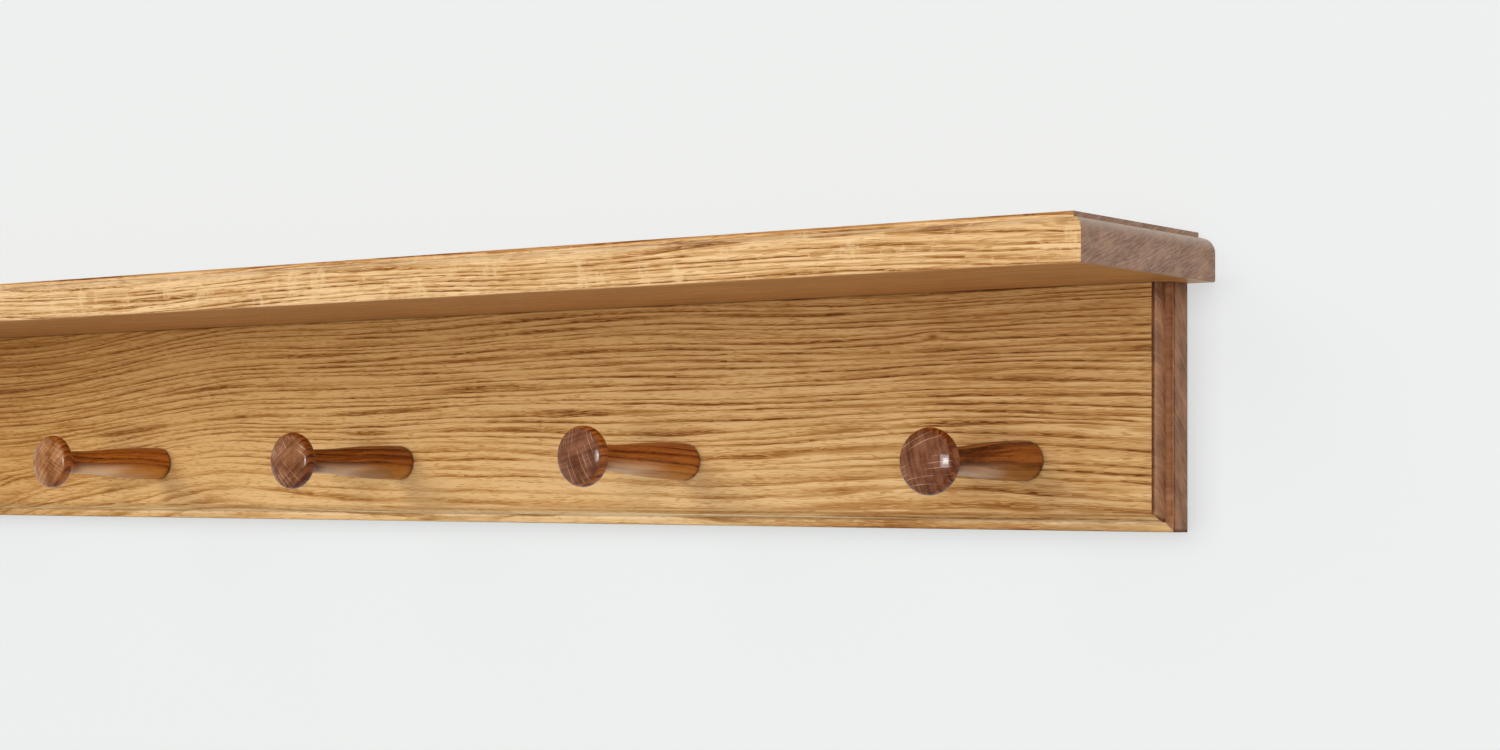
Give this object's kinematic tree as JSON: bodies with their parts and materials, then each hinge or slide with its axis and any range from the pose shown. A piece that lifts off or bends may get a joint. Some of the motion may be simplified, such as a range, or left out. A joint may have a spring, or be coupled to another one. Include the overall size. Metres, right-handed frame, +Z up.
{
  "type": "peg rail with shelf",
  "caption": "Wall-hung oak peg rail: a moulded back board with a row of turned pegs for hanging things, and a moulded shelf on top.",
  "frame": {"origin": "middle of the rail board's back face, which lies on the wall", "axes": "+X along the rail to the right as seen from the room, +Y into the wall, +Z up"},
  "size_m": [0.8304, 0.1016, 0.1148],
  "materials": {
    "rail_oak": "golden oak, satin lacquer",
    "shelf_oak": "golden oak, satin lacquer",
    "peg_oak": "turned oak, gloss lacquer",
    "hanger_steel": "zinc plated",
    "screw_steel": "zinc plated"
  },
  "bodies": {
    "root": {"rail_board": "rail_oak", "shelf_board": "shelf_oak", "peg_1": "peg_oak", "peg_2": "peg_oak", "peg_3": "peg_oak", "peg_4": "peg_oak", "peg_5": "peg_oak", "hanger_plate_left": "hanger_steel", "hanger_plate_right": "hanger_steel", "hanger_screws": "screw_steel", "shelf_screws": "screw_steel"}
  },
  "joints": []
}
